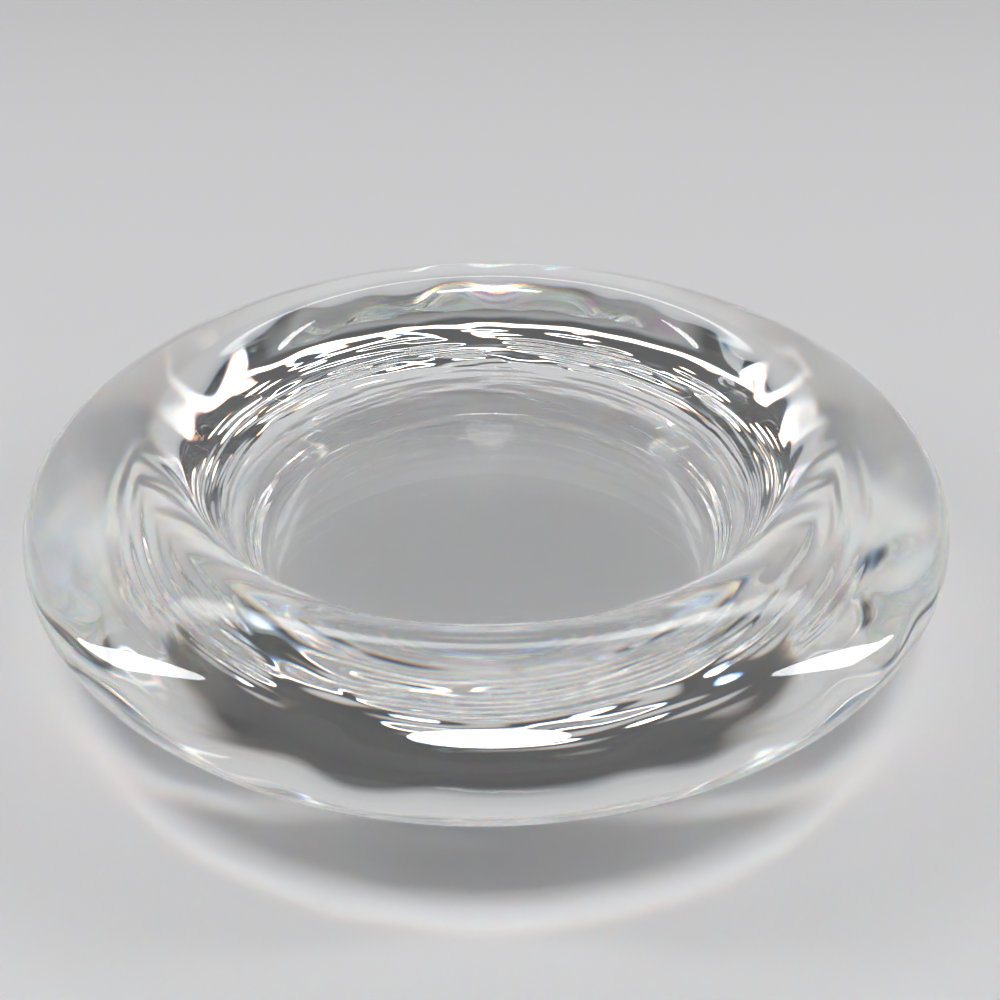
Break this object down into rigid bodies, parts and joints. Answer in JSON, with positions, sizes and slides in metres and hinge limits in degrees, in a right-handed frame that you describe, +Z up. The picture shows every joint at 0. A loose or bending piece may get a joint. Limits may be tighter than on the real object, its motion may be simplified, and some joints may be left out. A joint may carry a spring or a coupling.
{
  "type": "votive bowl",
  "caption": "Low, wide bowl of thick clear glass with a broad rolled rim, a flaring well and a flat floor that holds a votive candle or tealight.",
  "frame": {"origin": "centre of the base, on the surface that the bowl stands on", "axes": "+Z up along the axis of revolution; X and Y are level, and the bowl is alike in every direction around +Z"},
  "size_m": [0.14, 0.14, 0.0288],
  "materials": {
    "clear_glass": "clear, colourless, polished"
  },
  "bodies": {
    "root": {"glass_bowl": "clear_glass"}
  },
  "joints": []
}
